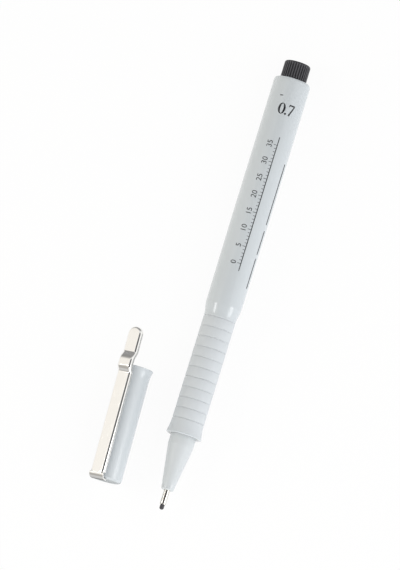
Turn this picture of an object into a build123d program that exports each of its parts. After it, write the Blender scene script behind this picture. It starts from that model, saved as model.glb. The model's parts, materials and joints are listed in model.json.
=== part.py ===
from build123d import *
import os
from math import atan2, cos, degrees, sin, sqrt

# Fineliner pen lying on a table beside its cap. The pen is drawn along +Y from the tip of its nib, and
# the cap along +Y from its closed end with the clip on its +Z side. The last section lays both on the
# table, z = 0, and centres them over the origin. Sizes are in millimetres, and fits are gaps on a radius.

# Fits
PRESS_FIT = 0.02
NIB_FIT = 0.02
RESERVOIR_FIT = 0.1
CAP_FIT = 0.03
HOOK_FIT = 0.03

# Fibre nib and its metal tube
NIB_D = 1.3
NIB_REACH = 1.5
NIB_ROUND = 0.5
NIB_SOAK = 8.0
NIB_GUIDE = 3.0
TUBE_WALL = 0.18
TUBE_REACH = 4.1
TUBE_SOCKET = 5.0
TUBE_EDGE = 0.1

# Nose cone
NOSE_LENGTH = 15.85
NOSE_TIP_D = 3.68
NOSE_TIP_LAND = 1.0
NOSE_TIP_EDGE = 0.45
NOSE_BASE_LAND = 2.7
NOSE_STEP = 0.06
NOSE_STEP_LENGTH = 0.4
NOSE_LEDGE = 0.23
NOSE_SPIGOT = 12.0
NOSE_WALL = 1.0

# Barrel with its collar and ringed grip
BARREL_BORE_D = 6.8
COLLAR_FLARE = 0.54
COLLAR_LENGTH = 4.42
COLLAR_LIP = 0.5
GRIP_WALL = 1.18
GROOVE_COUNT = 11
GROOVE_PITCH = 3.0
GROOVE_WIDTH = 0.45
GROOVE_DEPTH = 0.16
SHOULDER_FOOT = 0.4
SHOULDER_RISE = 0.55
SHOULDER_LENGTH = 3.9
DRAFT_RISE = 0.12
DRAFT_LENGTH = 24.6
STRAIGHT_LENGTH = 42.0
TAIL_EDGE = 1.0

# Fluted plug in the tail
PLUG_HEAD = 5.13
PLUG_LEDGE = 0.33
PLUG_EDGE = 0.7
PLUG_STEM = 9.0
PLUG_WALL = 1.0
FLUTE_COUNT = 32
FLUTE_WIDTH = 0.5
FLUTE_DEPTH = 0.16

# Ink reservoir
WRAP_THICKNESS = 0.15

# Cap
CAP_LENGTH = 32.9
CAP_WALL = 0.71
CAP_RELIEF = 0.2
CAP_EDGE = 0.9
CAP_END_WALL = 1.6
CAP_FLARE = 0.5
CAP_FLARE_LENGTH = 3.4
CAP_LIP = 0.25
MOUTH_CHAMFER = 0.5
SEAT_LENGTH = 2.2
SEAT_RAMP = 0.3

# Sealing liner in the cap
LINER_STEP = 0.43
LINER_WALL = 0.42
LINER_BASE = 1.0
LINER_FLANGE = 2.0

# Clip, one folded strip with turned-down sides
CLIP_WIDTH = 4.4
CLIP_SHEET = 0.45
CLIP_DEPTH = 1.4
CLIP_LIFT = 0.13
CLIP_FOLD = 1.6
ARCH_BACKSET = 2.45
ARCH_RISE = 1.15
ARCH_RAMP = 1.1
ARCH_TOP = 2.9
ARCH_SAG = 0.15
ARCH_FALL = 1.75
ARCH_BENDS = (0.45, 2.2, 2.8, 0.5)
TONGUE = 7.4

# Hook at the clip's fixed end, whose tab turns into a slot in the cap's closed end
HOOK_DROP = 1.4
HOOK_WIDTH = 2.6
HOOK_REACH = 1.1

# How the cap lies beside the pen: to its left, closed end just behind the nib's tip
CAP_ASIDE = 17.32
CAP_AHEAD = 3.33
CAP_YAW = 1.85
CAP_ROLL = 28.0

# Radii of the pen, from the bore outwards
nib_r = NIB_D / 2
tube_bore_r = nib_r + NIB_FIT
tube_r = tube_bore_r + TUBE_WALL
nose_tip_r = NOSE_TIP_D / 2
bore_r = BARREL_BORE_D / 2
spigot_r = bore_r - PRESS_FIT
nose_base_r = bore_r + NOSE_LEDGE
cone_end_r = nose_base_r - NOSE_STEP
grip_r = bore_r + GRIP_WALL
collar_r = grip_r + COLLAR_FLARE
shoulder_r = grip_r + SHOULDER_RISE
barrel_r = shoulder_r + DRAFT_RISE
plug_r = bore_r + PLUG_LEDGE
wrap_r = bore_r - RESERVOIR_FIT
reservoir_r = wrap_r - WRAP_THICKNESS - PRESS_FIT

# Stations along the pen, from the nib's tip
tube_at = NIB_REACH
nose_at = tube_at + TUBE_REACH
socket_end = nose_at + TUBE_SOCKET
guide_end = socket_end + NIB_GUIDE
cone_at = nose_at + NOSE_TIP_LAND
collar_at = nose_at + NOSE_LENGTH
base_at = collar_at - NOSE_BASE_LAND
cone_end = base_at - NOSE_STEP_LENGTH
spigot_end = collar_at + NOSE_SPIGOT
nib_end = spigot_end + NIB_SOAK
grip_at = collar_at + COLLAR_LENGTH
grip_end = grip_at + GROOVE_PITCH * (GROOVE_COUNT - 1)
shoulder_at = grip_end + SHOULDER_FOOT
shoulder_end = shoulder_at + SHOULDER_LENGTH
straight_at = shoulder_end + DRAFT_LENGTH
tail_at = straight_at + STRAIGHT_LENGTH
stem_at = tail_at - PLUG_STEM
plug_end = tail_at + PLUG_HEAD

# Slope of the nose, as radius gained per millimetre along it
nose_slope = (cone_end_r - nose_tip_r) / (cone_end - cone_at)

# Radii and stations of the cap, from its closed end
seat_r = nose_base_r + CAP_FIT
cap_bore_r = seat_r + CAP_RELIEF
cap_r = cap_bore_r + CAP_WALL
rim_r = cap_r + CAP_FLARE
liner_bore_r = nose_base_r - LINER_STEP
liner_r = liner_bore_r + LINER_WALL
flare_at = CAP_LENGTH - CAP_FLARE_LENGTH
seat_end = CAP_LENGTH - MOUTH_CHAMFER
seat_at = seat_end - SEAT_LENGTH

# The liner's lip meets the nose where the cone has the liner's bore, when the cap sits on the collar
liner_end = CAP_LENGTH - (collar_at - cone_end) - (cone_end_r - liner_bore_r) / nose_slope

# Clip: its sides stop short of the cap's round wall, and its strip hooks over the closed end
clip_half = CLIP_WIDTH / 2
clip_inside = clip_half - CLIP_SHEET
clip_top = sqrt(cap_r ** 2 - clip_inside ** 2) + CLIP_LIFT + CLIP_DEPTH
fold_end = CLIP_FOLD - CLIP_SHEET
fold_foot = clip_top - CLIP_FOLD
hook_foot = fold_foot - HOOK_DROP
arch_at = CAP_LENGTH - ARCH_BACKSET
arch_top_at = arch_at + ARCH_RAMP
arch_top_end = arch_top_at + ARCH_TOP
tongue_at = arch_top_end + ARCH_FALL
clip_end = tongue_at + TONGUE

OUTWARD = (1, 0)
TAILWARD = (0, 1)
NIBWARD = (0, -1)


def turned(*outline):
    """Solid of revolution about Y of a closed outline, whose points are (radius, station)."""
    return revolve(make_face(outline), Axis.Y)


def notch_radius(width, depth):
    """Radius of the round cutter that leaves a notch of this width and depth."""
    return (depth ** 2 + (width / 2) ** 2) / (2 * depth)


def nib():
    """Fibre rod with a rounded tip, from the paper back into the reservoir."""
    flat = (nib_r - NIB_ROUND, 0)
    side = (nib_r, NIB_ROUND)
    return turned(
        Line((0, 0), flat),
        TangentArc(flat, side, tangent=OUTWARD),
        Polyline(side, (nib_r, nib_end), (0, nib_end), (0, 0)),
    )


def tip_tube():
    """Metal tube round the nib, pressed into the nose."""
    face = (tube_r - TUBE_EDGE, tube_at)
    side = (tube_r, tube_at + TUBE_EDGE)
    return turned(
        Line((tube_bore_r, tube_at), face),
        TangentArc(face, side, tangent=OUTWARD),
        Polyline(side, (tube_r, socket_end), (tube_bore_r, socket_end), (tube_bore_r, tube_at)),
    )


def nose_cone():
    """Tapered nose with the tube's socket in front and a hollow spigot behind that fits the barrel."""
    socket_r = tube_r + PRESS_FIT
    guide_r = nib_r + NIB_FIT
    chamber_r = spigot_r - NOSE_WALL
    chamber_front_r = nose_tip_r + nose_slope * (guide_end - cone_at) - NOSE_WALL
    face = (nose_tip_r - NOSE_TIP_EDGE, nose_at)
    side = (nose_tip_r, nose_at + NOSE_TIP_EDGE)
    return turned(
        Line((socket_r, nose_at), face),
        TangentArc(face, side, tangent=OUTWARD),
        Polyline(
            side,
            (nose_tip_r, cone_at),
            (cone_end_r, cone_end),
            (nose_base_r, base_at),
            (nose_base_r, collar_at),
            (spigot_r, collar_at),
            (spigot_r, spigot_end),
            (chamber_r, spigot_end),
            (chamber_r, collar_at),
            (chamber_front_r, guide_end),
            (guide_r, guide_end),
            (guide_r, socket_end),
            (socket_r, socket_end),
            (socket_r, nose_at),
        ),
    )


def barrel():
    """Hollow body: flared collar, ringed grip, curved shoulder and a nearly straight tail."""
    lip = (collar_r - COLLAR_LIP, collar_at)
    rim = (collar_r, collar_at + COLLAR_LIP)
    grip_front = (grip_r, grip_at)
    grip_back = (grip_r, shoulder_at)
    shoulder = (shoulder_r, shoulder_end)
    bend_turns = ((grip_r + shoulder_r) / 2, (shoulder_at + shoulder_end) / 2)
    straight = (barrel_r, straight_at)
    edge = (barrel_r, tail_at - TAIL_EDGE)
    tail = (barrel_r - TAIL_EDGE, tail_at)
    body = turned(
        Polyline((bore_r, tail_at), (bore_r, collar_at), lip),
        TangentArc(lip, rim, tangent=OUTWARD),
        TangentArc(grip_front, rim, tangent=NIBWARD),
        Line(grip_front, grip_back),
        TangentArc(grip_back, bend_turns, tangent=TAILWARD),
        TangentArc(shoulder, bend_turns, tangent=NIBWARD),
        Polyline(shoulder, straight, edge),
        TangentArc(edge, tail, tangent=TAILWARD),
        Line(tail, (bore_r, tail_at)),
    )
    cutter_r = notch_radius(GROOVE_WIDTH, GROOVE_DEPTH)
    for k in range(GROOVE_COUNT):
        cutter = Pos(grip_r + cutter_r - GROOVE_DEPTH, grip_at + k * GROOVE_PITCH) * Circle(cutter_r)
        body -= revolve(cutter, Axis.Y)
    return body


def ink_reservoir():
    """Fibre filler between the nose's spigot and the plug's stem, with a socket that the nib soaks in."""
    socket_r = nib_r + NIB_FIT
    return turned(
        Polyline(
            (socket_r, spigot_end),
            (reservoir_r, spigot_end),
            (reservoir_r, stem_at),
            (0, stem_at),
            (0, nib_end),
            (socket_r, nib_end),
            close=True,
        )
    )


def reservoir_wrap():
    """Film sleeve round the filler."""
    film_r = wrap_r - WRAP_THICKNESS
    return turned(
        Polyline(
            (film_r, spigot_end),
            (wrap_r, spigot_end),
            (wrap_r, stem_at),
            (film_r, stem_at),
            close=True,
        )
    )


def tail_plug():
    """Plug with a fluted head on the tail's face and a hollow stem pressed into the bore."""
    stem_r = bore_r - PRESS_FIT
    hollow_r = stem_r - PLUG_WALL
    roof = plug_end - PLUG_WALL
    face = (plug_r - PLUG_EDGE, plug_end)
    side = (plug_r, plug_end - PLUG_EDGE)
    body = turned(
        Line((0, plug_end), face),
        TangentArc(face, side, tangent=OUTWARD),
        Polyline(
            side,
            (plug_r, tail_at),
            (stem_r, tail_at),
            (stem_r, stem_at),
            (hollow_r, stem_at),
            (hollow_r, roof),
            (0, roof),
            (0, plug_end),
        ),
    )
    cutter_r = notch_radius(FLUTE_WIDTH, FLUTE_DEPTH)
    spots = PolarLocations(plug_r + cutter_r - FLUTE_DEPTH, FLUTE_COUNT)
    end_plane = Plane.XZ.offset(-plug_end)
    return body - [extrude(end_plane * spot * Circle(cutter_r), PLUG_HEAD) for spot in spots]


def hook_tab(fit=0):
    """Tab of the clip's hook in the closed end, or with a fit the slot that it goes into."""
    section = Pos(0, hook_foot + CLIP_SHEET / 2) * Rectangle(HOOK_WIDTH + 2 * fit, CLIP_SHEET + 2 * fit)
    return extrude(Plane.XZ * section, -HOOK_REACH - fit)


def cap_shell():
    """Cap with a flared mouth, a ring that grips the nose's base, and a slot for the clip's hook."""
    lip = (rim_r - CAP_LIP, CAP_LENGTH)
    rim = (rim_r, CAP_LENGTH - CAP_LIP)
    flare = (cap_r, flare_at)
    edge = (cap_r, CAP_EDGE)
    end = (cap_r - CAP_EDGE, 0)
    shell = turned(
        Polyline(
            end,
            (0, 0),
            (0, CAP_END_WALL),
            (cap_bore_r, CAP_END_WALL),
            (cap_bore_r, seat_at - SEAT_RAMP),
            (seat_r, seat_at),
            (seat_r, seat_end),
            (seat_r + MOUTH_CHAMFER, CAP_LENGTH),
            lip,
        ),
        TangentArc(lip, rim, tangent=OUTWARD),
        TangentArc(flare, rim, tangent=TAILWARD),
        Line(flare, edge),
        TangentArc(edge, end, tangent=NIBWARD),
    )
    return shell - hook_tab(HOOK_FIT)


def inner_cap():
    """Sealing liner: a cup whose flange is pressed into the cap and whose lip closes on the nose."""
    flange_r = cap_bore_r - PRESS_FIT
    floor = CAP_END_WALL + LINER_BASE
    flange_end = CAP_END_WALL + LINER_FLANGE
    return turned(
        Polyline(
            (0, CAP_END_WALL),
            (flange_r, CAP_END_WALL),
            (flange_r, flange_end),
            (liner_r, flange_end),
            (liner_r, liner_end),
            (liner_bore_r, liner_end),
            (liner_bore_r, floor),
            (0, floor),
            close=True,
        )
    )


def clip_hook():
    """Fixed end of the clip: the fold down over the closed end, and the tab that turns in below it."""
    centre = (fold_end, fold_foot)
    fold = make_face(
        [
            CenterArc(centre, CLIP_FOLD, 90, 90),
            Polyline((-CLIP_SHEET, fold_foot), (-CLIP_SHEET, hook_foot), (0, hook_foot), (0, fold_foot)),
            CenterArc(centre, fold_end, 90, 90),
            Line((fold_end, clip_top - CLIP_SHEET), (fold_end, clip_top)),
        ]
    )
    return extrude(Plane.YZ * fold, clip_half, both=True) + hook_tab()


def clip_arm():
    """Springing length of the clip: channel-shaped strip with an arch over the mouth and a round tongue."""
    crest = FilletPolyline(
        (fold_end, clip_top),
        (arch_at, clip_top),
        (arch_top_at, clip_top + ARCH_RISE),
        (arch_top_end, clip_top + ARCH_RISE - ARCH_SAG),
        (tongue_at, clip_top),
        (clip_end, clip_top),
        radius=ARCH_BENDS,
    )

    def layer(upper, lower, half):
        """Body between two depths under the crest, of the clip's plan drawn in to this half width."""
        top = Pos(0, -upper) * crest
        bottom = Pos(0, -lower) * crest
        band = make_face([top, Line(top @ 0, bottom @ 0), Line(top @ 1, bottom @ 1), bottom])
        round_at = clip_end - clip_half
        plan = Pos(0, (fold_end + round_at) / 2) * Rectangle(2 * half, round_at - fold_end)
        plan += Pos(0, round_at) * Circle(half)
        upright = extrude(plan, clip_top + ARCH_RISE)
        return extrude(Plane.YZ * band, half, both=True) & upright

    return layer(0, CLIP_DEPTH, clip_half) - layer(CLIP_SHEET, CLIP_DEPTH, clip_inside)


# Laying the pen and the cap on the table: the pen on its straight barrel, the cap on its foot and its rim
cap_pitch = atan2(rim_r - cap_r, CAP_LENGTH - CAP_LIP - CAP_EDGE)
cap_height = cap_r * cos(cap_pitch) - CAP_EDGE * sin(cap_pitch)
pen_laid = Pos(0, 0, barrel_r)
cap_laid = Pos(-CAP_ASIDE, CAP_AHEAD, cap_height) * Rot(0, 0, CAP_YAW)
cap_laid = cap_laid * Rot(degrees(cap_pitch), 0, 0) * Rot(0, -CAP_ROLL, 0)

pieces = {
    "nib": pen_laid * nib(),
    "tip_tube": pen_laid * tip_tube(),
    "nose_cone": pen_laid * nose_cone(),
    "barrel": pen_laid * barrel(),
    "ink_reservoir": pen_laid * ink_reservoir(),
    "reservoir_wrap": pen_laid * reservoir_wrap(),
    "tail_plug": pen_laid * tail_plug(),
    "cap_shell": cap_laid * cap_shell(),
    "inner_cap": cap_laid * inner_cap(),
    "clip_hook": cap_laid * clip_hook(),
    "clip_arm": cap_laid * clip_arm(),
}
box = Compound(list(pieces.values())).bounding_box()
centred = Pos(-box.center().X, -box.center().Y, -box.min.Z)

os.makedirs("parts", exist_ok=True)
for name, piece in pieces.items():
    export_step(centred * piece, f"parts/{name}.step")
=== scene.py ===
import json
from math import atan2, cos, pi, radians, sin, sqrt, tau

import bmesh
import bpy
from mathutils import Matrix, Vector


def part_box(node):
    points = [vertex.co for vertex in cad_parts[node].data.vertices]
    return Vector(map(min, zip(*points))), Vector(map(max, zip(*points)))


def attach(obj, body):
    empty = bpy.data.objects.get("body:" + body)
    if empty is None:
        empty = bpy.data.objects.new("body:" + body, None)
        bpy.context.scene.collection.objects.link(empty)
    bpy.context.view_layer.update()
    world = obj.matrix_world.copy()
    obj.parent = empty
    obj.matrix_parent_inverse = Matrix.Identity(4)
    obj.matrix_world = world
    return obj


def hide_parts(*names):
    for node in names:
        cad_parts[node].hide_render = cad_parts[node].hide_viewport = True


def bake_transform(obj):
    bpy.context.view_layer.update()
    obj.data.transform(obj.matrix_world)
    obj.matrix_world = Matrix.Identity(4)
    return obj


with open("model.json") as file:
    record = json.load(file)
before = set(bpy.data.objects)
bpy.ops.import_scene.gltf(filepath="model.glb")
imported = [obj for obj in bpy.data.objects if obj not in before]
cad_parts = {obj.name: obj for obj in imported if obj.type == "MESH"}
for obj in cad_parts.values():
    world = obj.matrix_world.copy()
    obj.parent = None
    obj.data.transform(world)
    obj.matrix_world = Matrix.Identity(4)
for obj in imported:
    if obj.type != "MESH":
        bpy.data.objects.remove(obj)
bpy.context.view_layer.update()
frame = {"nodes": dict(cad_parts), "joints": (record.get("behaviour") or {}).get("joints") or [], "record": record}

# Fineliner pen with its cap beside it. Pieces are drawn in millimetres in their own frame: the pen along
# +Y from the tip of its nib, the cap along +Y from its closed end with the clip on its +Z side. They are
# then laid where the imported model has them, in metres.
MM = 0.001
WELD = 0.0004

# Radii of the pen
NIB_R = 0.62
TUBE_BORE_R = 0.67
TUBE_R = 0.85
NOSE_SOCKET_R = 0.87
NOSE_TIP_R = 1.84
NOSE_CONE_R = 3.57
NOSE_BASE_R = 3.63
NOSE_CHAMBER_R = 2.38
NOSE_CHAMBER_FRONT_R = 1.89
SPIGOT_R = 3.38
BORE_R = 3.4
GRIP_R = 4.58
COLLAR_R = 5.15
SHOULDER_R = 5.13
BARREL_R = 5.25
PLUG_R = 3.73
PLUG_STEM_R = 3.38
PLUG_HOLLOW_R = 2.38

# Lengths and roundings along the nib, tube and nose
NIB_ROUND = 0.55
NIB_GUIDE = 3.0
TUBE_EDGE = 0.1
TUBE_SETBACK = 0.02
NOSE_TIP_EDGE = 0.6
NOSE_TIP_LAND = 1.0
NOSE_TIP_BEND = 1.0
NOSE_BASE_LAND = 2.7
NOSE_STEP_LENGTH = 0.4
NOSE_STEP_EDGE = 0.05
STEM_EDGE = 0.3

# Lengths and roundings along the barrel. The collar's flare is drawn at these shares of its length.
COLLAR_LENGTH = 4.42
COLLAR_LIP = 0.4
COLLAR_FLARE = (0.8, 0.65, 0.5, 0.35, 0.2, 0.1)
GROOVE_COUNT = 11
GROOVE_PITCH = 3.0
GROOVE_HALF = 0.27
GROOVE_DEPTH = 0.16
SHOULDER_FOOT = 0.4
SHOULDER_LENGTH = 3.9
DRAFT_LENGTH = 24.6
DRAFT_BEND = 1.0
TAIL_EDGE = 1.0

# Tail plug
PLUG_EDGE = 0.7
PLUG_FOOT_EDGE = 0.12
PLUG_LAND = 0.35
PLUG_WALL = 1.0
PLUG_DISH_R = 2.35
PLUG_DISH = 0.12
PLUG_DISH_SLOPE = 0.12
PLUG_DISH_EDGE = 0.06
GATE_R = 0.34
GATE_RISE = 0.07
GATE_SLOPE = 0.06
GATE_EDGE = 0.05
FLUTE_COUNT = 32
FLUTE_SHARE = 0.7
FLUTE_DEPTH = 0.24
FLUTE_MARGIN = 0.05

# Cap. The flare of its mouth is drawn at these shares of its length.
CAP_LENGTH = 32.9
CAP_R = 4.57
CAP_RIM_R = 5.07
CAP_RIM_STEP = 0.01
CAP_BORE_R = 3.86
CAP_SEAT_R = 3.66
CAP_EDGE = 0.9
CAP_END_WALL = 1.6
CAP_FLARE_LENGTH = 3.4
CAP_FLARE = (0.0, 0.15, 0.3, 0.45, 0.6, 0.75, 0.88)
CAP_LIP = 0.25
MOUTH_CHAMFER = 0.5
SEAT_LENGTH = 2.2
SEAT_RAMP = 0.3
SEAT_EDGE = 0.1
CAP_GATE_R = 0.55
CAP_GATE_DEPTH = 0.12

# Clip
CLIP_HALF = 2.2
CLIP_SHEET = 0.44
CLIP_DEPTH = 1.4
CLIP_CORNER = 0.75
CLIP_TOP = 5.85
CLIP_FOLD = 1.6
CLIP_FACE = 0.45
CLIP_EASE = 0.6
ARCH_AT = 30.45
ARCH_RISE = 1.15
ARCH_RAMP = 1.1
ARCH_TOP = 2.9
ARCH_SAG = 0.15
ARCH_FALL = 1.75
ARCH_BENDS = (0.2, 0.75, 0.7, 0.15)
ARCH_SLICE = 0.12
ARCH_BEFORE = 0.7
ARCH_BEHIND = 0.3
TONGUE = 7.4
HOOK_DROP = 1.4
HOOK_BEND = 0.5
HOOK_WIDTH = 2.6
HOOK_REACH = 1.1
HOOK_FIT = 0.04

# Printed rules, scale and dash
INK_PROUD = 0.012
INK_SUNK = 0.02
INK_SLICE = 0.25
RULE_WIDTH = 0.24
RULE_ANGLE = 14.8
RULE_FROM = 69.9
RULE_TO = 109.4
SIDE_RULE_WIDTH = 0.5
SIDE_RULE_ANGLE = 67.0
SIDE_RULE_SPANS = ((66.2, 75.0), (76.2, 83.2), (85.0, 102.9))
SCALE_AT = 72.0
SCALE_LENGTH = 35
SCALE_LONG_TICK = 5
SCALE_LINE = 0.13
SCALE_TICK = 0.7
SCALE_TICK_FIVE = 1.05
SCALE_FIGURE = 1.5
SCALE_FIGURE_GAP = 0.45
FIGURE_SHARE = 0.69
DASH_AT = 121.1
DASH_ANGLE = -18.0
DASH_HALF = 0.45
DASH_RISE = 0.05
DASH_WIDTHS = (0.3, 0.22)

# Printed figures of the line width. The zero is given by half widths, and the strokes of the seven by their
# ends, across and down from the top of the figures, and their widths at both ends.
SIZE_MARK_AT = 117.5
SIZE_MARK_ANGLE = 8.6
SIZE_MARK_HEIGHT = 3.2
ZERO_ACROSS = -1.3
ZERO_HALF = 1.04
ZERO_HOLLOW_HALF = 0.46
ZERO_END = 0.2
POINT_ACROSS = 0.02
POINT_RISE = 0.3
POINT_R = 0.29
SEVEN_STROKES = (
    ((0.62, 0.2), (2.3, 0.2), 0.4, 0.4),
    ((2.16, 0.3), (1.06, 3.2), 0.36, 0.44),
    ((0.72, 0.24), (0.6, 0.8), 0.26, 0.14),
)

# Steps of round shapes, and the angles above which an edge stays sharp
BODY_STEPS = 128
SMALL_STEPS = 64
FLUTE_STEPS = 10
GROOVE_STEPS = 5
SHOULDER_STEPS = 12
ROUND_STEPS = 6
TONGUE_STEPS = 24
FOLD_STEPS = 10
CLIP_EASE_STEPS = 10
RULE_STEPS = 8
ZERO_STEPS = 48
POINT_STEPS = 24
SHARP_EDGE = 40
SHARP_FLUTE = 45
SHARP_BEND = 50

# Stretches over which a finish changes. They count along the pen from the front of the collar, the last
# groove and the front of the nose, and outwards from the pen's axis and from the crests of the plug's ribs.
LIP_POLISH = (0.3, 0.7)
# Painted shade on the collar's front face: its stretch along the pen.
SEAM_SHADE_REACH = (0.02, 0.1)
GRIP_RUNOUT = (-0.1, 0.5)
NOSE_POLISH = (0.8, 2.2)
# Painted shade on the collar's front face: its radii from the axis.
SEAM_SHADE_RADII = (4.1, 4.8)
RIB_CREST = (-0.1, -0.01)
GROOVE_LIP = 0.04
PLASTIC_IOR = 1.49

# View of the photograph. Its middle is in the pen's millimetres, the sensor's width in millimetres, and the
# distance, height and clipping in metres.
VIEW_AZIMUTH = 16.93
VIEW_ELEVATION = 81.0
VIEW_DISTANCE = 2.5
VIEW_ASIDE = -8.05
VIEW_STATION = 63.69
VIEW_HEIGHT = 0.1593
VIEW_CLIP = (0.01, 20.0)
SENSOR_WIDTH = 36.0

# Floor, in metres. Before the cap's foot it carries a painted shadow that only reflections show.
FLOOR_HALF = 2.0
FLOOR_WHITE = (0.9, 0.9, 0.9, 1.0)
FLOOR_GLOW = 0.94
FLOOR_AHEAD = 0.6
FOOT_EDGE = 0.001
FOOT_SIDE = (0.007, 0.011)
CONTACT_REACH = 0.02
CONTACT_POWER = 3.5
BLACK = (0.0, 0.0, 0.0, 1.0)
WHITE = (1.0, 1.0, 1.0, 1.0)

# Light of the dome, and the directions where its panels and gaps begin and end, as parts of a unit vector
DOME_LEFT = 0.9
DOME_RIGHT = 1.32
DOME_OVERHEAD = 0.14
DOME_GLOSS = 0.12
DOME_WARM = (1.0, 0.93, 0.8, 1.0)
DOME_TURN = (-0.2, 0.6)
DOME_BESIDE = (0.24, 0.44)
DOME_LOW = (0.12, 0.42)
DARK_AHEAD = 0.12
DARK_SQUEEZE = (1.7, 1.8)
DARK_EDGE = (0.8, 1.15)
NIB_GAP = 0.52
NIB_GAP_AHEAD = (0.0, 0.35)
NIB_GAP_ASIDE = (0.2, 0.5)
TAIL_GAP = 0.7
TAIL_GAP_BEHIND = (0.4, 0.8)
LEFT_DIM = 0.05
LEFT_DIM_ASIDE = (0.35, 0.6)
WARM_ASIDE = (0.35, 0.75)
WARM_LOSS = 0.6

mounts = {mount["name"]: mount for mount in frame["record"]["mounts"]}
joints = {joint["name"]: joint for joint in frame["joints"]}


def pen_frame():
    """Place of the pen: on the axis of its tail's face, from the tip of the nib."""
    axis = mounts["tail_face"]["pos_m"]
    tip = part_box("nib")[0]
    return Matrix.Translation((axis[0], tip.y, axis[2]))


def cap_frame():
    """Place of the cap: along its bore, with the clip's hinge across it."""
    along = Vector(mounts["cap_bore"]["axis"]).normalized()
    across = Vector(joints["clip_flex"]["axis"]).normalized()
    upward = across.cross(along)
    seat_middle = CAP_LENGTH - MOUTH_CHAMFER - SEAT_LENGTH / 2
    end = Vector(mounts["cap_bore"]["pos_m"]) - along * seat_middle * MM
    turned = Matrix((across, along, upward)).transposed().to_4x4()
    return Matrix.Translation(end) @ turned


PEN = pen_frame()
CAP = cap_frame()
TO_METRES = Matrix.Scale(MM, 4)
UPWARD = Vector((0, 0, 1))


def pen_span(node):
    """First and last station of one of the pen's nodes, in millimetres from the nib's tip."""
    low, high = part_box(node)
    start = PEN.translation.y
    return (low.y - start) / MM, (high.y - start) / MM


nib_end = pen_span("nib")[1]
tube_at, tube_end = pen_span("tip_tube")
nose_at, spigot_end = pen_span("nose_cone")
collar_at, tail_at = pen_span("barrel")
stem_at, plug_end = pen_span("tail_plug")
grip_at = collar_at + COLLAR_LENGTH
grip_end = grip_at + GROOVE_PITCH * (GROOVE_COUNT - 1)
shoulder_at = grip_end + SHOULDER_FOOT
shoulder_end = shoulder_at + SHOULDER_LENGTH
straight_at = shoulder_end + DRAFT_LENGTH

arch_top_at = ARCH_AT + ARCH_RAMP
arch_top_end = arch_top_at + ARCH_TOP
tongue_at = arch_top_end + ARCH_FALL
clip_end = tongue_at + TONGUE
tongue_round_at = clip_end - CLIP_HALF
fold_end = CLIP_FOLD - CLIP_FACE
hook_foot = CLIP_TOP - CLIP_FOLD - HOOK_DROP


class Value:
    """A socket of a node tree that takes part in sums as a number does."""

    def __init__(self, tree, socket=None):
        self.tree = tree
        self.socket = socket

    def node(self, kind, settings, sockets, output=0):
        """Adds a node, sets it up, feeds its sockets and hands back one of its outputs."""
        made = self.tree.nodes.new(kind)
        for name, setting in settings.items():
            setattr(made, name, setting)
        for name, fed in sockets.items():
            if isinstance(fed, Value):
                self.tree.links.new(fed.socket, made.inputs[name])
            else:
                made.inputs[name].default_value = fed
        if len(made.outputs) == 0:
            return None
        return Value(self.tree, made.outputs[output])

    def math(self, operation, *terms):
        """Adds one step of maths on these terms."""
        return self.node("ShaderNodeMath", {"operation": operation}, dict(enumerate(terms)))

    def __add__(self, other):
        return self.math("ADD", self, other)

    __radd__ = __add__

    def __sub__(self, other):
        return self.math("SUBTRACT", self, other)

    def __rsub__(self, other):
        return self.math("SUBTRACT", other, self)

    def __mul__(self, other):
        return self.math("MULTIPLY", self, other)

    __rmul__ = __mul__

    def __neg__(self):
        return self.math("MULTIPLY", self, -1)

    def __pow__(self, other):
        return self.math("POWER", self, other)

    def __abs__(self):
        return self.math("ABSOLUTE", self)


def empty_tree(owner):
    """Empties the node tree of a material or a world, and hands back a value to start from."""
    owner.use_nodes = True
    owner.node_tree.nodes.clear()
    return Value(owner.node_tree)


def ease(value, low, high):
    """0 below low, 1 above high, and a smooth step between them."""
    sockets = {"Value": value, "From Min": low, "From Max": high}
    return value.node("ShaderNodeMapRange", {"interpolation_type": "SMOOTHSTEP"}, sockets, "Result")


def larger(one, other):
    """The larger of two values."""
    return one.math("MAXIMUM", one, other)


def tint(mask, plain, marked):
    """Plain colour where the mask is 0, marked colour where it is 1."""
    return mask.node("ShaderNodeMix", {"data_type": "RGBA"}, {0: mask, 6: plain, 7: marked}, 2)


def speckle(point, scale, detail=2.0):
    """Noise from 0 to 1 over a point in millimetres."""
    sockets = {"Vector": point, "Scale": scale, "Detail": detail}
    return point.node("ShaderNodeTexNoise", {}, sockets, "Fac")


def stretch(point, across, along):
    """Point drawn out along the piece, for grain that follows its length."""
    scale = (across, along, across)
    return point.node("ShaderNodeVectorMath", {"operation": "MULTIPLY"}, {0: point, 1: scale})


def reach_along(point, way):
    """How far a point lies along a way."""
    sockets = {0: point, 1: way}
    return point.node("ShaderNodeVectorMath", {"operation": "DOT_PRODUCT"}, sockets, "Value")


def parts_of(point):
    """Across, along and up, as three values."""
    return [point.node("ShaderNodeSeparateXYZ", {}, {0: point}, name) for name in "XYZ"]


def from_axis(point):
    """Distance from the piece's own axis."""
    across, along, up = parts_of(point)
    return (across * across + up * up) ** 0.5


def colour(red, green, blue):
    """Colour as it is seen on a screen, 0 to 255, in the linear values that a shader takes."""
    shares = [level / 255 for level in (red, green, blue)]
    linear = [s / 12.92 if s <= 0.04045 else ((s + 0.055) / 1.055) ** 2.4 for s in shares]
    return (*linear, 1.0)


def new_finish(name, place):
    """Material with an empty node tree, and the point on the piece in its own millimetres."""
    material = bpy.data.materials.new(name)
    start = empty_tree(material)
    point = start.node("ShaderNodeTexCoord", {}, {}, "Object")
    sockets = {
        "Vector": point,
        "Location": place.translation,
        "Rotation": place.to_euler(),
        "Scale": (MM, MM, MM),
    }
    return material, start.node("ShaderNodeMapping", {"vector_type": "TEXTURE"}, sockets)


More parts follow.
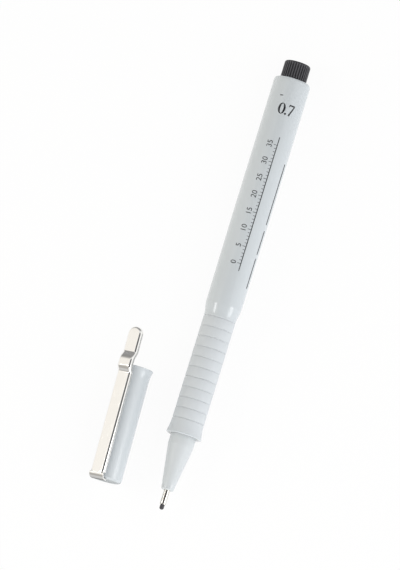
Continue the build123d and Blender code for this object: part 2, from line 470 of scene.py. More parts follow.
def close_finish(point, sockets, height, depth):
    """Ends a material: its surface, with a bump of this height and depth in millimetres."""
    bump = {"Height": height, "Distance": depth * MM, "Strength": 1.0}
    sockets["Normal"] = point.node("ShaderNodeBump", {}, bump, "Normal")
    surface = point.node("ShaderNodeBsdfPrincipled", {}, sockets, "BSDF")
    point.node("ShaderNodeOutputMaterial", {}, {"Surface": surface})


BARREL_GREY = colour(203, 209, 213)
BARREL_GREY_DEEP = colour(198, 204, 208)
GRIP_GREY = colour(203, 208, 212)
# Painted shade: darker down in the grip's grooves.
GROOVE_SHADE_GREY = colour(186, 191, 194)
# Painted shade on the collar's front face by the nose.
SEAM_SHADE_GREY = colour(142, 146, 149)
NOSE_GREY = colour(205, 210, 213)
NOSE_GREY_DEEP = colour(201, 206, 209)
PLUG_BLACK = colour(27, 27, 32)
# Painted highlight on the crests of the plug's ribs.
PLUG_CREST_SHEEN = colour(87, 87, 92)
INK_BLACK = colour(26, 27, 32)
INK_WORN = colour(48, 50, 56)
NICKEL = colour(252, 251, 249)
NICKEL_DULL = colour(245, 243, 240)
STEEL = colour(235, 232, 226)
STEEL_DULL = colour(214, 211, 205)
FIBRE_BLACK = colour(58, 57, 61)
FIBRE_GREY = colour(122, 120, 124)
FILLER_BLACK = colour(34, 34, 38)
FILLER_GREY = colour(74, 74, 80)
LINER_WHITE = colour(228, 229, 224)
LINER_MILKY = colour(216, 218, 214)
FILM_CLEAR = colour(222, 225, 226)
# Painted shade along the film's creases.
FILM_CREASE_SHADE = colour(206, 209, 211)


def barrel_plastic():
    """Pale grey moulding: glossy body, fine matt grip, and painted shade in the grooves and on the collar's face
    by the nose.
    """
    material, point = new_finish("barrel_plastic", PEN)
    station = parts_of(point)[1]
    radius = from_axis(point)
    grip = ease(station - collar_at, *LIP_POLISH) * (1 - ease(station - grip_end, *GRIP_RUNOUT))
    # Painted shade: darker down in the grip's grooves.
    groove_shade = (1 - ease(radius, GRIP_R - GROOVE_DEPTH, GRIP_R - GROOVE_LIP)) * grip
    # Painted shade: the collar's front face by the nose is darker.
    seam_shade = (1 - ease(station - collar_at, *SEAM_SHADE_REACH)) * (1 - ease(radius, *SEAM_SHADE_RADII))
    mottle = speckle(point, 0.09)
    grain = speckle(point, 7.0)
    peel = speckle(point, 0.55)
    rubbed = ease(speckle(stretch(point, 5.0, 0.12), 1.0), 0.6, 0.72)
    shade = tint(grip, tint(mottle, BARREL_GREY, BARREL_GREY_DEEP), GRIP_GREY)
    sockets = {
        # Base colour with painted shade in the grooves and on the collar's front face.
        "Base Color": tint(seam_shade * 0.8, tint(groove_shade * 0.5, shade, GROOVE_SHADE_GREY), SEAM_SHADE_GREY),
        "Roughness": 0.15 + grip * 0.35 + rubbed * 0.05 + grain * grip * 0.08,
        "IOR": PLASTIC_IOR,
    }
    close_finish(point, sockets, grain * grip * 0.8 + peel * (1 - grip), 0.012)
    return material


def nose_plastic():
    """Pale grey moulding with a satin cone and a polished tip."""
    material, point = new_finish("nose_plastic", PEN)
    station = parts_of(point)[1]
    tip = 1 - ease(station - nose_at, *NOSE_POLISH)
    mottle = speckle(point, 0.14)
    peel = speckle(point, 0.7)
    sockets = {
        "Base Color": tint(mottle, NOSE_GREY, NOSE_GREY_DEEP),
        "Roughness": 0.4 - tip * 0.22 + peel * 0.06,
        "IOR": PLASTIC_IOR,
    }
    close_finish(point, sockets, peel, 0.008)
    return material


def cap_plastic():
    """Pale grey moulding, glossy, with faint flow lines drawn out from its closed end."""
    material, point = new_finish("cap_plastic", CAP)
    mottle = speckle(point, 0.1)
    flow = speckle(stretch(point, 1.1, 0.14), 1.0)
    peel = speckle(point, 0.6)
    sockets = {
        "Base Color": tint(mottle, BARREL_GREY, BARREL_GREY_DEEP),
        "Roughness": 0.19 + flow * 0.06,
        "IOR": PLASTIC_IOR,
    }
    close_finish(point, sockets, peel + flow * 0.4, 0.009)
    return material


def plug_plastic():
    """Black moulding with a satin grain, polished a little on the crests of its ribs, and a painted highlight on
    them.
    """
    material, point = new_finish("plug_plastic", PEN)
    ribs = ease(from_axis(point) - PLUG_R, *RIB_CREST)
    grain = speckle(point, 6.0)
    sockets = {
        # Painted highlight: the rib crests are lighter than the plug's own black.
        "Base Color": tint(ribs * 0.85 + grain * 0.1, PLUG_BLACK, PLUG_CREST_SHEEN),
        "Roughness": 0.5 - ribs * 0.1 + grain * 0.08,
        "IOR": PLASTIC_IOR,
    }
    close_finish(point, sockets, grain, 0.01)
    return material


def clip_steel():
    """Bright nickel on spring steel: fine lines along the strip, a few hairline scratches."""
    material, point = new_finish("clip_steel", CAP)
    lines = speckle(stretch(point, 9.0, 0.2), 1.0, 3.0)
    cloud = speckle(point, 0.3)
    hairline = ease(speckle(stretch(point, 3.0, 0.3), 1.0, 1.0), 0.66, 0.69)
    sockets = {
        "Base Color": tint(lines * 0.5 + cloud * 0.5, NICKEL, NICKEL_DULL),
        "Metallic": 1.0,
        "Roughness": 0.07 + lines * 0.06 + hairline * 0.08 + cloud * 0.03,
    }
    close_finish(point, sockets, lines * 0.5 + hairline * 0.3 + cloud, 0.0025)
    return material


def tube_steel():
    """Bright drawn steel, with draw lines along the tube."""
    material, point = new_finish("tube_steel", PEN)
    lines = speckle(stretch(point, 12.0, 0.3), 1.0)
    sockets = {
        "Base Color": tint(lines, STEEL, STEEL_DULL),
        "Metallic": 1.0,
        "Roughness": 0.12 + lines * 0.08,
    }
    close_finish(point, sockets, lines, 0.001)
    return material


def nib_fibre():
    """Bonded fibre soaked with black ink: strands along the rod, paler where they have dried."""
    material, point = new_finish("nib_fibre", PEN)
    strands = speckle(stretch(point, 9.0, 0.8), 1.0, 3.0)
    dried = ease(strands, 0.5, 0.72)
    sockets = {"Base Color": tint(dried, FIBRE_BLACK, FIBRE_GREY), "Roughness": 0.62 + dried * 0.2}
    close_finish(point, sockets, strands, 0.03)
    return material


def filler_fibre():
    """Soft fibre filler, dark with ink."""
    material, point = new_finish("filler_fibre", PEN)
    strands = speckle(stretch(point, 4.0, 0.2), 1.0, 3.0)
    sockets = {"Base Color": tint(strands, FILLER_BLACK, FILLER_GREY), "Roughness": 0.9}
    close_finish(point, sockets, strands, 0.08)
    return material


def wrap_film():
    """Thin film sleeve with creases along it, and painted shade along them."""
    material, point = new_finish("wrap_film", PEN)
    crease = ease(speckle(stretch(point, 1.5, 0.08), 1.0), 0.55, 0.7)
    # Painted shade along the creases.
    sockets = {"Base Color": tint(crease, FILM_CLEAR, FILM_CREASE_SHADE), "Roughness": 0.2 + crease * 0.1}
    close_finish(point, sockets, crease, 0.03)
    return material


def liner_plastic():
    """Natural polyethylene, milky and waxy."""
    material, point = new_finish("liner_plastic", CAP)
    milk = speckle(point, 0.35)
    sockets = {
        "Base Color": tint(milk, LINER_WHITE, LINER_MILKY),
        "Roughness": 0.38 + milk * 0.1,
        "Subsurface Weight": 0.15,
        "Subsurface Scale": MM,
    }
    close_finish(point, sockets, speckle(point, 2.0), 0.01)
    return material


def print_ink():
    """Black pad-printing ink, thin in places."""
    material, point = new_finish("print_ink", PEN)
    worn = ease(speckle(point, 3.5, 3.0), 0.45, 0.75)
    sockets = {"Base Color": tint(worn, INK_BLACK, INK_WORN), "Roughness": 0.36 + worn * 0.12}
    close_finish(point, sockets, worn, 0.003)
    return material


FINISHES = {
    "barrel_plastic": barrel_plastic(),
    "nose_plastic": nose_plastic(),
    "tube_steel": tube_steel(),
    "nib_fibre": nib_fibre(),
    "filler_fibre": filler_fibre(),
    "wrap_film": wrap_film(),
    "plug_plastic": plug_plastic(),
    "cap_plastic": cap_plastic(),
    "liner_plastic": liner_plastic(),
    "clip_steel": clip_steel(),
    "print_ink": print_ink(),
}


def new_object(name, data):
    """Object with this data, linked into the scene."""
    made = bpy.data.objects.new(name, data)
    bpy.context.scene.collection.objects.link(made)
    return made


def new_piece(bm, name, place, finish, sharp=SHARP_EDGE):
    """Lays a shape in the frame as a piece with smooth faces and edges sharp above an angle."""
    bmesh.ops.transform(bm, matrix=place @ TO_METRES, verts=bm.verts)
    mesh = bpy.data.meshes.new(name)
    bm.to_mesh(mesh)
    bm.free()
    mesh.materials.append(FINISHES[finish])
    mesh.shade_smooth()
    mesh.set_sharp_from_angle(angle=radians(sharp))
    return new_object(name, mesh)


def stand_for(piece, body, node):
    """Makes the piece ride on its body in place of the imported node."""
    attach(piece, body)
    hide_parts(node)


def round_corner(bm, vertex, reach):
    """Rounds the corner of an outline, from this far on both sides of it."""
    bmesh.ops.bevel(
        bm,
        geom=[vertex],
        offset=reach,
        segments=ROUND_STEPS,
        profile=0.5,
        affect="VERTICES",
        material=-1,
    )


def slice_across(bm, spot, normal):
    """Cuts all faces along a plane and keeps both sides."""
    geom = bm.verts[:] + bm.edges[:] + bm.faces[:]
    bmesh.ops.bisect_plane(bm, geom=geom, dist=WELD, plane_co=spot, plane_no=normal)


def turn(outline, steps, ring):
    """Shape spun about Y from (radius, station, rounding) corners. A ring's outline is closed."""
    bm = bmesh.new()
    rail = [bm.verts.new((corner[0], corner[1], 0)) for corner in outline]
    ends = list(zip(rail, rail[1:]))
    if ring:
        ends.append((rail[-1], rail[0]))
    for pair in ends:
        bm.edges.new(pair)
    for corner, vertex in zip(outline, rail):
        if len(corner) == 3:
            round_corner(bm, vertex, corner[2])
    geom = bm.verts[:] + bm.edges[:]
    bmesh.ops.spin(bm, geom=geom, axis=(0, 1, 0), cent=(0, 0, 0), angle=tau, steps=steps, use_merge=True)
    bmesh.ops.remove_doubles(bm, verts=bm.verts, dist=WELD)
    bmesh.ops.recalc_face_normals(bm, faces=bm.faces)
    return bm


def smooth(share):
    """Smooth step from 0 to 1."""
    return share ** 2 * (3 - 2 * share)


def flare(foot, rim, shares):
    """Points of a curve that leaves the foot along the axis and opens towards the rim."""
    points = []
    for share in shares:
        radius = foot[0] + (rim[0] - foot[0]) * share ** 2
        station = foot[1] + (rim[1] - foot[1]) * share
        points.append((radius, station))
    return points


def groove(station):
    """Points across one ring groove of the grip, soft at its lips and its floor."""
    shares = [k / GROOVE_STEPS for k in range(-GROOVE_STEPS, GROOVE_STEPS + 1)]
    depths = [GROOVE_DEPTH * (1 + cos(pi * share)) / 2 for share in shares]
    return [(GRIP_R - depth, station + share * GROOVE_HALF) for share, depth in zip(shares, depths)]


def shoulder():
    """Points of the soft step from the grip up to the long body."""
    shares = [k / SHOULDER_STEPS for k in range(SHOULDER_STEPS + 1)]
    radii = [GRIP_R + (SHOULDER_R - GRIP_R) * smooth(share) for share in shares]
    return [(radius, shoulder_at + SHOULDER_LENGTH * share) for radius, share in zip(radii, shares)]


def barrel_body():
    """Hollow barrel: flared collar, ringed grip, shoulder, long body and a rounded tail."""
    outline = [(BORE_R, collar_at), (COLLAR_R, collar_at, COLLAR_LIP)]
    outline += flare((GRIP_R, grip_at), (COLLAR_R, collar_at), COLLAR_FLARE)
    for k in range(GROOVE_COUNT):
        outline += groove(grip_at + k * GROOVE_PITCH)
    outline += shoulder()
    outline += [(BARREL_R, straight_at, DRAFT_BEND), (BARREL_R, tail_at, TAIL_EDGE), (BORE_R, tail_at)]
    bm = turn(outline, BODY_STEPS, ring=True)
    piece = new_piece(bm, "barrel_body", PEN, "barrel_plastic")
    stand_for(piece, "pen", "barrel")


def nose_body():
    """Tapered nose with the tube's socket in front and a hollow spigot inside the barrel."""
    guide_end = tube_end + NIB_GUIDE
    base_at = collar_at - NOSE_BASE_LAND
    outline = [
        (NOSE_SOCKET_R, nose_at),
        (NOSE_TIP_R, nose_at, NOSE_TIP_EDGE),
        (NOSE_TIP_R, nose_at + NOSE_TIP_LAND, NOSE_TIP_BEND),
        (NOSE_CONE_R, base_at - NOSE_STEP_LENGTH, NOSE_STEP_EDGE),
        (NOSE_BASE_R, base_at, NOSE_STEP_EDGE),
        (NOSE_BASE_R, collar_at),
        (SPIGOT_R, collar_at),
        (SPIGOT_R, spigot_end, STEM_EDGE),
        (NOSE_CHAMBER_R, spigot_end),
        (NOSE_CHAMBER_R, collar_at),
        (NOSE_CHAMBER_FRONT_R, guide_end),
        (TUBE_BORE_R, guide_end),
        (TUBE_BORE_R, tube_end),
        (NOSE_SOCKET_R, tube_end),
    ]
    bm = turn(outline, BODY_STEPS, ring=True)
    piece = new_piece(bm, "nose_body", PEN, "nose_plastic")
    stand_for(piece, "pen", "nose_cone")


def tip_sleeve():
    """Metal tube round the nib, with a rolled front edge."""
    outline = [
        (TUBE_BORE_R, tube_at + TUBE_SETBACK),
        (TUBE_R, tube_at, TUBE_EDGE),
        (TUBE_R, tube_end),
        (TUBE_BORE_R, tube_end),
    ]
    bm = turn(outline, SMALL_STEPS, ring=True)
    piece = new_piece(bm, "tip_sleeve", PEN, "tube_steel")
    stand_for(piece, "pen", "tip_tube")


def nib_rod():
    """Fibre rod with a rounded tip."""
    outline = [(0, 0), (NIB_R, 0, NIB_ROUND), (NIB_R, nib_end), (0, nib_end)]
    bm = turn(outline, SMALL_STEPS, ring=False)
    piece = new_piece(bm, "nib_rod", PEN, "nib_fibre", SHARP_BEND)
    stand_for(piece, "pen", "nib")


def flute_depth(angle):
    """Depth of the flutes round the plug, where each takes up a share of its pitch."""
    pitch = tau / FLUTE_COUNT
    across = abs((angle / pitch) % 1 - 0.5) / (FLUTE_SHARE / 2)
    return FLUTE_DEPTH * max(0.0, 1 - across ** 2)


def cut_flutes(bm):
    """Draws the side of the plug's head in along its flutes, which run out at the rounded end."""
    for vertex in bm.verts:
        across, station, up = vertex.co
        radius = sqrt(across ** 2 + up ** 2)
        if station > tail_at - WELD and radius > PLUG_STEM_R + FLUTE_MARGIN:
            fade = min(1.0, max(0.0, (plug_end - station) / PLUG_EDGE - 0.5))
            share = 1 - flute_depth(atan2(up, across)) * fade / radius
            vertex.co = (across * share, station, up * share)
    bmesh.ops.recalc_face_normals(bm, faces=bm.faces)


def tail_plug_body():
    """Plug with a fluted head, a dished end with a gate point, and a hollow stem in the bore."""
    dish = plug_end - PLUG_DISH
    outline = [
        (0, dish + GATE_RISE),
        (GATE_R, dish + GATE_RISE, GATE_EDGE),
        (GATE_R + GATE_SLOPE, dish),
        (PLUG_DISH_R, dish),
        (PLUG_DISH_R + PLUG_DISH_SLOPE, plug_end, PLUG_DISH_EDGE),
        (PLUG_R, plug_end, PLUG_EDGE),
        (PLUG_R, plug_end - PLUG_EDGE - PLUG_LAND),
        (PLUG_R, tail_at + PLUG_LAND),
        (PLUG_R, tail_at, PLUG_FOOT_EDGE),
        (PLUG_STEM_R, tail_at),
        (PLUG_STEM_R, stem_at, STEM_EDGE),
        (PLUG_HOLLOW_R, stem_at),
        (PLUG_HOLLOW_R, plug_end - PLUG_WALL),
        (0, plug_end - PLUG_WALL),
    ]
    bm = turn(outline, FLUTE_COUNT * FLUTE_STEPS, ring=False)
    cut_flutes(bm)
    piece = new_piece(bm, "tail_plug_body", PEN, "plug_plastic", SHARP_FLUTE)
    stand_for(piece, "pen", "tail_plug")


def cut_hook_slot(bm):
    """Sinks the slot for the clip's hook into the cap's closed end."""
    half = HOOK_WIDTH / 2 + HOOK_FIT
    low = hook_foot - HOOK_FIT
    high = hook_foot + CLIP_SHEET + HOOK_FIT
    cuts = [((side, 0, 0), (1, 0, 0)) for side in (-half, half)]
    cuts += [((0, 0, level), (0, 0, 1)) for level in (low, high)]
    for spot, normal in cuts:
        end_faces = [f for f in bm.faces if all(abs(v.co.y) < WELD for v in f.verts)]
        geom = set(end_faces)
        for face in end_faces:
            geom.update(face.edges, face.verts)
        bmesh.ops.bisect_plane(bm, geom=list(geom), dist=WELD, plane_co=spot, plane_no=normal)
    floor = []
    for face in bm.faces:
        middle = face.calc_center_median()
        if abs(middle.y) < WELD and abs(middle.x) < half and low < middle.z < high:
            floor.append(face)
    made = bmesh.ops.extrude_face_region(bm, geom=floor)["geom"]
    sunk = [g for g in made if isinstance(g, bmesh.types.BMVert)]
    bmesh.ops.translate(bm, verts=sunk, vec=(0, HOOK_REACH + HOOK_FIT, 0))
    bmesh.ops.delete(bm, geom=floor, context="FACES")
    bmesh.ops.recalc_face_normals(bm, faces=bm.faces)


def cap_body():
    """Cap with a flared mouth, a ring inside it that grips the nose, and a slot for the clip's hook."""
    seat_end = CAP_LENGTH - MOUTH_CHAMFER
    seat_at = seat_end - SEAT_LENGTH
    flare_at = CAP_LENGTH - CAP_FLARE_LENGTH
    outline = [
        (0, CAP_GATE_DEPTH),
        (CAP_GATE_R, CAP_GATE_DEPTH),
        (CAP_GATE_R + CAP_GATE_DEPTH, 0),
        (CAP_R, 0, CAP_EDGE),
    ]
    outline += flare((CAP_R, flare_at), (CAP_RIM_R, CAP_LENGTH), CAP_FLARE)
    outline += [
        (CAP_RIM_R + CAP_RIM_STEP, CAP_LENGTH, CAP_LIP),
        (CAP_SEAT_R + MOUTH_CHAMFER, CAP_LENGTH),
        (CAP_SEAT_R, seat_end, SEAT_EDGE),
        (CAP_SEAT_R, seat_at, SEAT_EDGE),
        (CAP_BORE_R, seat_at - SEAT_RAMP),
        (CAP_BORE_R, CAP_END_WALL),
        (0, CAP_END_WALL),
    ]
    bm = turn(outline, BODY_STEPS, ring=False)
    cut_hook_slot(bm)
    piece = new_piece(bm, "cap_body", CAP, "cap_plastic")
    stand_for(piece, "cap", "cap_shell")


def crest(station):
    """How far the clip's back stands above its straight length: the arch over the cap's mouth."""
    climb = ARCH_RISE / ARCH_RAMP
    sag = ARCH_SAG / ARCH_TOP
    fall = (ARCH_RISE - ARCH_SAG) / ARCH_FALL
    corners = (ARCH_AT, arch_top_at, arch_top_end, tongue_at)
    turns = (climb, -climb - sag, sag - fall, fall)
    height = 0.0
    for corner, reach, turn_by in zip(corners, ARCH_BENDS, turns):
        past = station - corner
        if past > reach:
            height += turn_by * past
        elif past > -reach:
            height += turn_by * (past + reach) ** 2 / (4 * reach)
    return height


def on_plane(bm, axis, level):
    """Edges that lie on the plane where this coordinate has this level."""
    return [e for e in bm.edges if all(abs(v.co[axis] - level) < WELD for v in e.verts)]


def draw_out(bm, edges, step):
    """Draws edges out by a step as new faces, and hands back their new far edges."""
    made = bmesh.ops.extrude_edge_only(bm, edges=edges)["geom"]
    far_verts = [g for g in made if isinstance(g, bmesh.types.BMVert)]
    bmesh.ops.translate(bm, verts=far_verts, vec=step)
    reached = set(far_verts)
    return [g for g in made if isinstance(g, bmesh.types.BMEdge) and reached.issuperset(g.verts)]


def roll_over(bm, edges, centre, steps):
    """Draws edges through a quarter turn about an axis across the clip."""
    verts = list({v for e in edges for v in e.verts})
    bmesh.ops.spin(bm, geom=verts + edges, axis=(1, 0, 0), cent=centre, angle=pi / 2, steps=steps)


def channel_half(bm):
    """Half of the clip's section at the tongue: flat back, rounded corner, turned-down side."""
    corners = ((0, 0), (CLIP_HALF, 0), (CLIP_HALF, -CLIP_DEPTH))
    rail = [bm.verts.new((across, tongue_round_at, CLIP_TOP + up)) for across, up in corners]
    for pair in zip(rail, rail[1:]):
        bm.edges.new(pair)
    round_corner(bm, rail[1], CLIP_CORNER)


def flatten_sides(bm):
    """Lets the turned-down sides run out into a flat strip on the last stretch before the fold."""
    for vertex in bm.verts:
        past = (vertex.co.y - fold_end) / CLIP_EASE
        if past < 1:
            share = smooth(max(0.0, past))
            across = vertex.co.x
            drop = CLIP_TOP - vertex.co.z
            flat = CLIP_HALF * (abs(across) + drop) / (CLIP_HALF + CLIP_DEPTH)
            spread = abs(across) * share + flat * (1 - share)
            vertex.co.x = spread if across > 0 else -spread
            vertex.co.z = CLIP_TOP - drop * share


def hook(bm):
    """Draws the strip down from its fold, and its narrow middle on into the cap's slot."""
    half = HOOK_WIDTH / 2
    for side in (-half, half):
        slice_across(bm, (side, 0, 0), (1, 0, 0))
    foot = [e for e in on_plane(bm, 2, CLIP_TOP - CLIP_FOLD) if all(v.co.y < 0 for v in e.verts)]
    end = draw_out(bm, foot, (0, 0, HOOK_BEND - HOOK_DROP))
    tab = [e for e in end if all(abs(v.co.x) < half + WELD for v in e.verts)]
    bend_at = HOOK_BEND - CLIP_FACE
    roll_over(bm, tab, (0, bend_at, hook_foot + HOOK_BEND), ROUND_STEPS)
    tip = [e for e in on_plane(bm, 2, hook_foot) if all(abs(v.co.y - bend_at) < WELD for v in e.verts)]
    draw_out(bm, tip, (0, HOOK_REACH - bend_at, 0))
    bmesh.ops.remove_doubles(bm, verts=bm.verts, dist=WELD)


def clip_sheet():
    """Outer skin of the clip, not yet arched: tongue, arm, fold and hook in one strip."""
    bm = bmesh.new()
    channel_half(bm)
    geom = bm.verts[:] + bm.edges[:]
    tongue = (0, tongue_round_at, 0)
    bmesh.ops.spin(bm, geom=geom, axis=(0, 0, 1), cent=tongue, angle=pi, steps=TONGUE_STEPS)
    bmesh.ops.remove_doubles(bm, verts=bm.verts, dist=WELD)
    edges = on_plane(bm, 1, tongue_round_at)
    edges = draw_out(bm, edges, (0, fold_end + CLIP_EASE - tongue_round_at, 0))
    for k in range(CLIP_EASE_STEPS):
        edges = draw_out(bm, edges, (0, -CLIP_EASE / CLIP_EASE_STEPS, 0))
    flatten_sides(bm)
    roll_over(bm, edges, (0, fold_end, CLIP_TOP - CLIP_FOLD), FOLD_STEPS)
    hook(bm)
    return bm


def clip_strip():
    """Spring clip: one strip folded over the cap's end, arched over its mouth, with a round tongue."""
    bm = clip_sheet()
    first = ARCH_AT - ARCH_BEFORE
    count = int((tongue_at + ARCH_BEHIND - first) / ARCH_SLICE)
    for k in range(count + 1):
        slice_across(bm, (0, first + k * ARCH_SLICE, 0), (0, 1, 0))
    bmesh.ops.recalc_face_normals(bm, faces=bm.faces)
    highest = max(bm.faces, key=lambda face: face.calc_center_median().z)
    if highest.normal.z < 0:
        bmesh.ops.reverse_faces(bm, faces=bm.faces)
    bmesh.ops.solidify(bm, geom=bm.faces[:], thickness=CLIP_SHEET)
    for vertex in bm.verts:
        vertex.co.z += crest(vertex.co.y)
    piece = new_piece(bm, "clip_strip", CAP, "clip_steel", SHARP_BEND)
    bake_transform(piece)
    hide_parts("clip_hook", "clip_arm")


def barrel_surface(station):
    """Radius of the barrel behind its shoulder."""
    share = min(1.0, (station - shoulder_end) / DRAFT_LENGTH)
    return SHOULDER_R + (BARREL_R - SHOULDER_R) * share


def ink_stroke(bm, start, end, width, end_width):
    """Flat printed stroke between two points, across and along, that may change its width."""
    start = Vector(start)
    end = Vector(end)
    aside = Vector((start.y - end.y, end.x - start.x)).normalized()
    made = bmesh.ops.create_grid(bm, x_segments=1, y_segments=1, size=0.5)
    for vertex in made["verts"]:
        share = vertex.co.x + 0.5
        half = vertex.co.y * (width + (end_width - width) * share)
        spot = start.lerp(end, share) + aside * half
        vertex.co = (spot.x, spot.y, 0)


def ink_ring(bm, centre, outer, inner):
    """Flat printed oval with thick flanks and thin ends, from its half widths and half heights."""
    loops = []
    for half_width, half_height in (outer, inner):
        shape = Matrix.Translation((*centre, 0)) @ Matrix.Diagonal((half_width, half_height, 1, 1))
        made = bmesh.ops.create_circle(bm, segments=ZERO_STEPS, radius=1, matrix=shape)
        loops += {e for v in made["verts"] for e in v.link_edges}
    bmesh.ops.bridge_loops(bm, edges=loops)


def ink_dot(bm, centre, radius):
    """Flat printed dot."""
    place = Matrix.Translation((*centre, 0))
    bmesh.ops.create_circle(bm, cap_ends=True, segments=POINT_STEPS, radius=radius, matrix=place)


def print_on_barrel(bm, name, station, angle):
    """Gives a flat mark its thickness of ink and wraps it on the barrel about this station and angle."""
    reach = max(abs(v.co.x) for v in bm.verts)
    count = int(reach / INK_SLICE)
    for k in range(-count, count + 1):
        slice_across(bm, (k * INK_SLICE, 0, 0), (1, 0, 0))
    bmesh.ops.recalc_face_normals(bm, faces=bm.faces)
    for face in bm.faces:
        if face.normal.z < 0:
            face.normal_flip()
    bmesh.ops.solidify(bm, geom=bm.faces[:], thickness=INK_PROUD + INK_SUNK)
    for vertex in bm.verts:
        across, along, up = vertex.co
        base = barrel_surface(station + along)
        bearing = radians(angle) + across / base
        radius = base + INK_PROUD + up
        vertex.co = (radius * sin(bearing), station + along, radius * cos(bearing))
    piece = new_piece(bm, name, PEN, "print_ink")
    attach(piece, "pen")


def size_mark():
    """Plain figures of the line width, near the tail."""
    top = SIZE_MARK_HEIGHT / 2
    bm = bmesh.new()
    ink_ring(bm, (ZERO_ACROSS, 0), (ZERO_HALF, top), (ZERO_HOLLOW_HALF, top - ZERO_END))
    ink_dot(bm, (POINT_ACROSS, POINT_RISE - top), POINT_R)
    for start, end, width, end_width in SEVEN_STROKES:
        ink_stroke(bm, (start[0], top - start[1]), (end[0], top - end[1]), width, end_width)
    print_on_barrel(bm, "size_mark", SIZE_MARK_AT, SIZE_MARK_ANGLE)


def ink_rule(bm, start, end, width):
    """Flat printed rule along the barrel, in steps that follow its draft."""
    stations = [start + (end - start) * k / RULE_STEPS for k in range(RULE_STEPS + 1)]
    for low, high in zip(stations, stations[1:]):
        ink_stroke(bm, (0, low), (0, high), width, width)
    bmesh.ops.remove_doubles(bm, verts=bm.verts, dist=WELD)


def rules():
    """Thin printed rules along the barrel, and the short dash by its tail."""
    bm = bmesh.new()
    ink_rule(bm, RULE_FROM - straight_at, RULE_TO - straight_at, RULE_WIDTH)
    print_on_barrel(bm, "rule_top", straight_at, RULE_ANGLE)
    bm = bmesh.new()
    for start, end in SIDE_RULE_SPANS:
        ink_rule(bm, start - straight_at, end - straight_at, SIDE_RULE_WIDTH)
    print_on_barrel(bm, "rule_side", straight_at, SIDE_RULE_ANGLE)
    bm = bmesh.new()
    ink_stroke(bm, (-DASH_HALF, 0), (DASH_HALF, DASH_RISE), *DASH_WIDTHS)
    print_on_barrel(bm, "tail_dash", DASH_AT, DASH_ANGLE)


def ink_figure(bm, number, across, along):
    """Flat printed number that reads along the barrel, with its foot towards the rule."""
    data = bpy.data.curves.new("scale_figure", "FONT")
    data.body = str(number)
    data.size = SCALE_FIGURE / FIGURE_SHARE
    data.align_x = "CENTER"
    shape = bpy.data.objects.new("scale_figure", data)
    mesh = bpy.data.meshes.new_from_object(shape)
    mesh.transform(Matrix.Translation((across, along, 0)) @ Matrix.Rotation(pi / 2, 4, "Z"))
    bm.from_mesh(mesh)
    bpy.data.objects.remove(shape)
    bpy.data.curves.remove(data)
    bpy.data.meshes.remove(mesh)


def length_scale():
    """Plain millimetre scale on the upper rule, with a number at every fifth tick."""
    bm = bmesh.new()
    for k in range(SCALE_LENGTH + 1):
        along = SCALE_AT + k - straight_at
        numbered = k % SCALE_LONG_TICK == 0
        reach = SCALE_TICK_FIVE if numbered else SCALE_TICK
        ink_stroke(bm, (-RULE_WIDTH / 2, along), (-reach, along), SCALE_LINE, SCALE_LINE)
        if numbered:
            ink_figure(bm, k, -SCALE_TICK_FIVE - SCALE_FIGURE_GAP, along)
    bmesh.ops.remove_doubles(bm, verts=bm.verts, dist=WELD)
    print_on_barrel(bm, "length_scale", straight_at, RULE_ANGLE)


def inner_finishes():
    """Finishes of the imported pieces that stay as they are, inside the pen and the cap."""
    kept = {
        "ink_reservoir": "filler_fibre",
        "reservoir_wrap": "wrap_film",
        "inner_cap": "liner_plastic",
    }
    for node, finish in kept.items():
        mesh = frame["nodes"][node].data
        mesh.materials.clear()
        mesh.materials.append(FINISHES[finish])


def floor_white():
    """White that keeps a faint shadow of the object, with a painted shadow before the cap's foot that only
    reflections show.
    """
    material = bpy.data.materials.new("pale_floor")
    start = empty_tree(material)
    seen, glossy, through = [
        start.node("ShaderNodeLightPath", {}, {}, f"Is {kind} Ray")
        for kind in ("Camera", "Glossy", "Transmission")
    ]
    open_floor = start.node("ShaderNodeAmbientOcclusion", {}, {"Distance": CONTACT_REACH}, "AO")
    spot = start.node("ShaderNodeTexCoord", {}, {}, "Object")
    from_foot = start.node("ShaderNodeVectorMath", {"operation": "SUBTRACT"}, {0: spot, 1: CAP.translation})
    along = CAP.col[1].to_3d()
    ahead = 1 - ease(reach_along(from_foot, along), -FOOT_EDGE, FOOT_EDGE)
    beside = 1 - ease(reach_along(from_foot, along.cross(UPWARD)), *FOOT_SIDE)
    # Painted shadow before the cap's foot, seen only in reflections, darkest where the floor is hemmed in.
    mirrored_shadow = glossy * ahead * beside * (1 - open_floor ** CONTACT_POWER * FLOOR_AHEAD)
    lit = start.node("ShaderNodeBsdfDiffuse", {}, {"Color": FLOOR_WHITE})
    glow = start.node("ShaderNodeEmission", {}, {"Color": tint(mirrored_shadow, WHITE, BLACK), "Strength": 1.0})
    shown = larger(seen, larger(glossy, through)) * FLOOR_GLOW
    mixed = start.node("ShaderNodeMixShader", {}, {0: shown, 1: lit, 2: glow})
    start.node("ShaderNodeOutputMaterial", {}, {"Surface": mixed})
    return material


def pale_floor():
    """Level floor under the object."""
    bm = bmesh.new()
    bmesh.ops.create_grid(bm, x_segments=1, y_segments=1, size=FLOOR_HALF)
    mesh = bpy.data.meshes.new("pale_floor")
    bm.to_mesh(mesh)
    bm.free()
    mesh.materials.append(floor_white())
    new_object("pale_floor", mesh)


def view_sides():
    """Ways to the right of the photograph and towards the nib's end, level with the floor."""
    turn_by = radians(VIEW_AZIMUTH)
    return Vector((cos(turn_by), sin(turn_by), 0)), Vector((sin(turn_by), -cos(turn_by), 0))


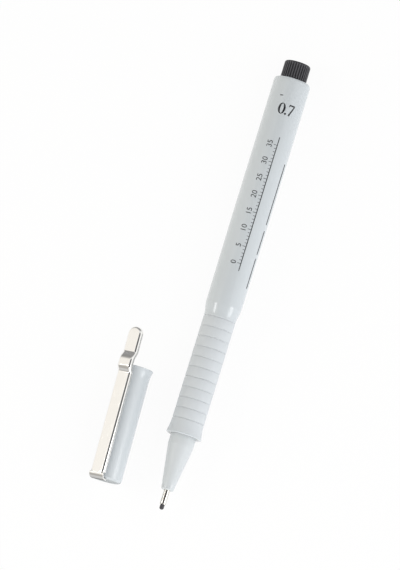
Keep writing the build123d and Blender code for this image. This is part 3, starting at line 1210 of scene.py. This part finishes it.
def studio_dome():
    """Soft light from all round, darker overhead. Mirrored, it shows dark gaps between its panels."""
    world = bpy.data.worlds.new("studio_dome")
    bpy.context.scene.world = world
    start = empty_tree(world)
    way = start.node("ShaderNodeTexCoord", {}, {}, "Generated")
    aside, ahead = [reach_along(way, side) for side in view_sides()]
    height = parts_of(way)[2]
    open_sky = larger(ease(abs(aside), *DOME_BESIDE), 1 - ease(height, *DOME_LOW))
    level = DOME_LEFT + ease(aside, *DOME_TURN) * (DOME_RIGHT - DOME_LEFT)
    soft = DOME_OVERHEAD + open_sky * (level - DOME_OVERHEAD)
    squeeze_aside, squeeze_ahead = DARK_SQUEEZE
    from_dark = ((aside * squeeze_aside) ** 2 + ((ahead - DARK_AHEAD) * squeeze_ahead) ** 2) ** 0.5
    overhead = DOME_GLOSS + ease(from_dark, *DARK_EDGE) * (1 - DOME_GLOSS)
    nib_gap = 1 - ease(ahead, *NIB_GAP_AHEAD) * ease(-aside, *NIB_GAP_ASIDE) * NIB_GAP
    tail_gap = 1 - ease(-ahead, *TAIL_GAP_BEHIND) * TAIL_GAP
    left_panel = 1 - ease(-aside, *LEFT_DIM_ASIDE) * LEFT_DIM
    panels = overhead * nib_gap * tail_gap * left_panel
    glossy = start.node("ShaderNodeLightPath", {}, {}, "Is Glossy Ray")
    warmth = ease(-aside, *WARM_ASIDE) * (1 - glossy * WARM_LOSS)
    sockets = {"Color": tint(warmth, WHITE, DOME_WARM), "Strength": soft + glossy * (panels - soft)}
    light = start.node("ShaderNodeBackground", {}, sockets)
    start.node("ShaderNodeOutputWorld", {}, {"Surface": light})


def look_back(thing, spot, way):
    """Puts a lamp or the camera on a spot, looking back against the way that leads to it."""
    thing.location = spot
    thing.rotation_mode = "QUATERNION"
    thing.rotation_quaternion = (-way).to_track_quat("-Z", "Y")


def softbox(name, lean, forward, distance, width, length, power):
    """Soft lamp leaning this far from overhead to the right, and this far towards the nib's end.

    Angles are in degrees, sizes in metres and the power in watts.
    """
    rightward, nibward = view_sides()
    aside = rightward * sin(radians(lean)) + UPWARD * cos(radians(lean))
    way = aside * cos(radians(forward)) + nibward * sin(radians(forward))
    data = bpy.data.lights.new(name, "AREA")
    data.shape = "RECTANGLE"
    data.size = length
    data.size_y = width
    data.energy = power
    lamp = new_object(name, data)
    look_back(lamp, way * distance, way)
    return lamp


def softboxes():
    """Key from the right, fill and glint from the left, and a low lamp before the nib's end.

    The fill isn't mirrored, because it would flash on the clip.
    """
    softbox("key_softbox", lean=59, forward=22, distance=0.9, width=0.4, length=0.2, power=1.25)
    fill = softbox("fill_softbox", lean=-66, forward=-8, distance=0.9, width=0.28, length=0.18, power=1.3)
    fill.visible_glossy = False
    softbox("glint_softbox", lean=-50, forward=-3, distance=0.9, width=0.16, length=0.22, power=0.9)
    softbox("front_softbox", lean=0, forward=63, distance=0.42, width=0.3, length=0.2, power=0.46)


def photograph_camera():
    """Camera at the photograph's angle, far off with a long lens."""
    data = bpy.data.cameras.new("photograph_camera")
    data.sensor_width = SENSOR_WIDTH
    data.lens = SENSOR_WIDTH * VIEW_DISTANCE / VIEW_HEIGHT
    data.clip_start, data.clip_end = VIEW_CLIP
    camera = new_object("photograph_camera", data)
    elevation = radians(VIEW_ELEVATION)
    way = view_sides()[1] * cos(elevation) + UPWARD * sin(elevation)
    middle = PEN @ (Vector((VIEW_ASIDE, VIEW_STATION, 0)) * MM)
    look_back(camera, middle + way * VIEW_DISTANCE, way)
    bpy.context.scene.camera = camera


photograph_camera()
studio_dome()
softboxes()
pale_floor()

barrel_body()
nose_body()
tip_sleeve()
nib_rod()
tail_plug_body()
cap_body()
clip_strip()
inner_finishes()

size_mark()
rules()
length_scale()

bpy.context.scene.view_settings.view_transform = "Standard"
